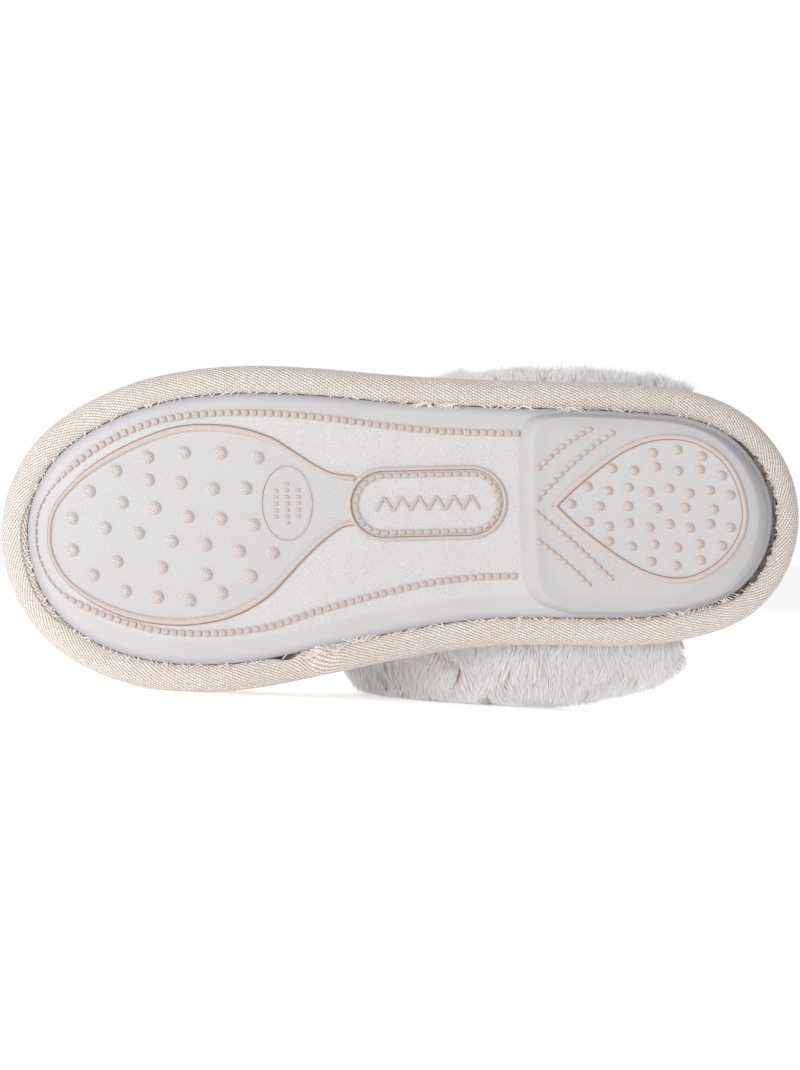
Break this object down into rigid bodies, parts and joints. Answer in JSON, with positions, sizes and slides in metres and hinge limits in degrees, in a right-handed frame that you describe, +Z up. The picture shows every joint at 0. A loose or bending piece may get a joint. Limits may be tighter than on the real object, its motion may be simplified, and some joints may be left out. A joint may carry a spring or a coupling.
{
  "type": "scuff slipper",
  "caption": "Left scuff slipper with a fur collar, a twill-wrapped platform and a studded rubber outsole, lying on its medial side.",
  "frame": {"origin": "on the floor, under the centre of the box round the lying shoe", "axes": "+X from toe to heel, +Y from the sole to the upper, +Z up towards the lateral side"},
  "size_m": [0.259, 0.0902, 0.1184],
  "materials": {
    "outsole_rubber": "moulded pale grey rubber, satin",
    "twill_wrap": "cream twill with darker beige ribs",
    "plush_footbed": "short cream plush",
    "twill_upper": "cream twill with darker beige ribs",
    "fur": "dense white fur with beige roots"
  },
  "bodies": {
    "root": {"outsole": "outsole_rubber", "wrapped_midsole": "twill_wrap", "insole": "plush_footbed", "vamp": "twill_upper", "fur_cuff": "fur"}
  },
  "joints": []
}
